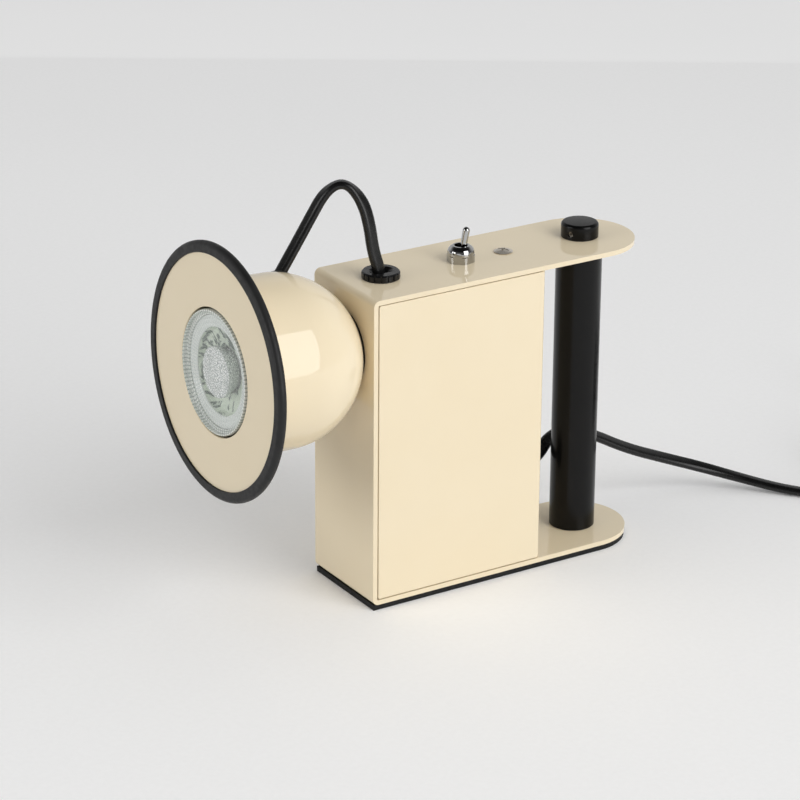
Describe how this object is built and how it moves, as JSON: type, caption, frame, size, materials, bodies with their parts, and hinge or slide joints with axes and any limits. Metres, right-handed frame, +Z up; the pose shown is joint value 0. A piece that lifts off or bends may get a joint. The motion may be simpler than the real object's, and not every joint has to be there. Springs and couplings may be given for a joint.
{
  "type": "tabletop searchlight lamp",
  "caption": "Small desk searchlight: a round head with a wide rubber-edged face plate is held by a magnet in a ball seat on a bent-strip body with toggle switch and round rear handle.",
  "frame": {"origin": "on the table surface, at the middle of the base outline (bottom of the rubber pad)", "axes": "+Z up; the head looks along -Y; the handle is at +Y; +X is to the right when seen from the head side looking along +Y"},
  "size_m": [0.1395, 0.4042, 0.1719],
  "materials": {
    "cream_paint": "gloss powder coat, pale cream",
    "pad_rubber": "matte",
    "rim_rubber": "matte",
    "black_steel": "satin black",
    "zinc_steel": "zinc plated",
    "magnet": "nickel plated",
    "chrome": "polished",
    "black_plastic": "fine matte",
    "bulb_shell": "satin white",
    "bulb_glass": "frosted",
    "bulb_white": "satin",
    "porcelain": "glazed",
    "brass": "plain",
    "cord_black": "satin vinyl",
    "core_insulation": "brown and blue vinyl"
  },
  "bodies": {
    "body": {"base_pad": "pad_rubber", "block_screw": "zinc_steel", "body_strip": "cream_paint", "cap_grub_screw": "black_steel", "cord_coil": "cord_black", "cover_nuts": "zinc_steel", "cover_screws": "zinc_steel", "handle_cap": "black_steel", "handle_post": "black_steel", "handle_rod": "zinc_steel", "magnet_bridge": "zinc_steel", "magnet_cup": "zinc_steel", "magnet_disc": "magnet", "magnet_nut": "zinc_steel", "mains_cord": "cord_black", "plug_body": "black_plastic", "plug_pins": "brass", "rear_cover": "cream_paint", "rear_gland": "black_plastic", "rear_gland_nut": "black_plastic", "supply_cores": "core_insulation", "switch_cores": "core_insulation", "terminal_barrels": "brass", "terminal_block": "porcelain", "terminal_screws": "brass", "toggle_body": "black_plastic", "toggle_bushing": "chrome", "toggle_dress_nut": "chrome", "toggle_lock_nut": "chrome", "toggle_lugs": "zinc_steel", "toggle_pivot_pin": "zinc_steel", "toggle_washer": "chrome", "top_gland": "black_plastic", "top_gland_nut": "black_plastic"},
    "seat": {"seat_ring": "black_plastic"},
    "flex": {"head_flex": "cord_black"},
    "head": {"dome": "cream_paint", "face_plate": "cream_paint", "rim_ring": "rim_rubber", "bulb_reflector": "bulb_shell", "bulb_lens": "bulb_glass", "bulb_optic": "bulb_white", "bulb_led_board": "bulb_white", "bulb_base": "bulb_white", "bulb_pins": "zinc_steel", "lamp_holder": "porcelain", "holder_screws": "zinc_steel", "holder_strap": "zinc_steel", "holder_cores": "core_insulation", "flex_inlet": "rim_rubber"},
    "toggle": {"toggle_lever": "chrome"}
  },
  "joints": [
    {"name": "head_roll", "type": "hinge", "parent": "body", "child": "seat", "pos_m": [0, -0.09955, 0.1067], "axis": [0, 1, 0], "range_deg": [-25, 25]},
    {"name": "head_pan", "type": "hinge", "parent": "seat", "child": "flex", "pos_m": [0, -0.09955, 0.1067], "axis": [0, 0, 1], "range_deg": [-40, 40]},
    {"name": "head_tilt", "type": "hinge", "parent": "flex", "child": "head", "pos_m": [0, -0.09955, 0.1067], "axis": [1, 0, 0], "range_deg": [-15, 40], "deforming": ["head_flex"]},
    {"name": "toggle_switch", "type": "hinge", "parent": "body", "child": "toggle", "pos_m": [0, -0.0129, 0.1323], "axis": [1, 0, 0], "range_deg": [0, 22]}
  ]
}
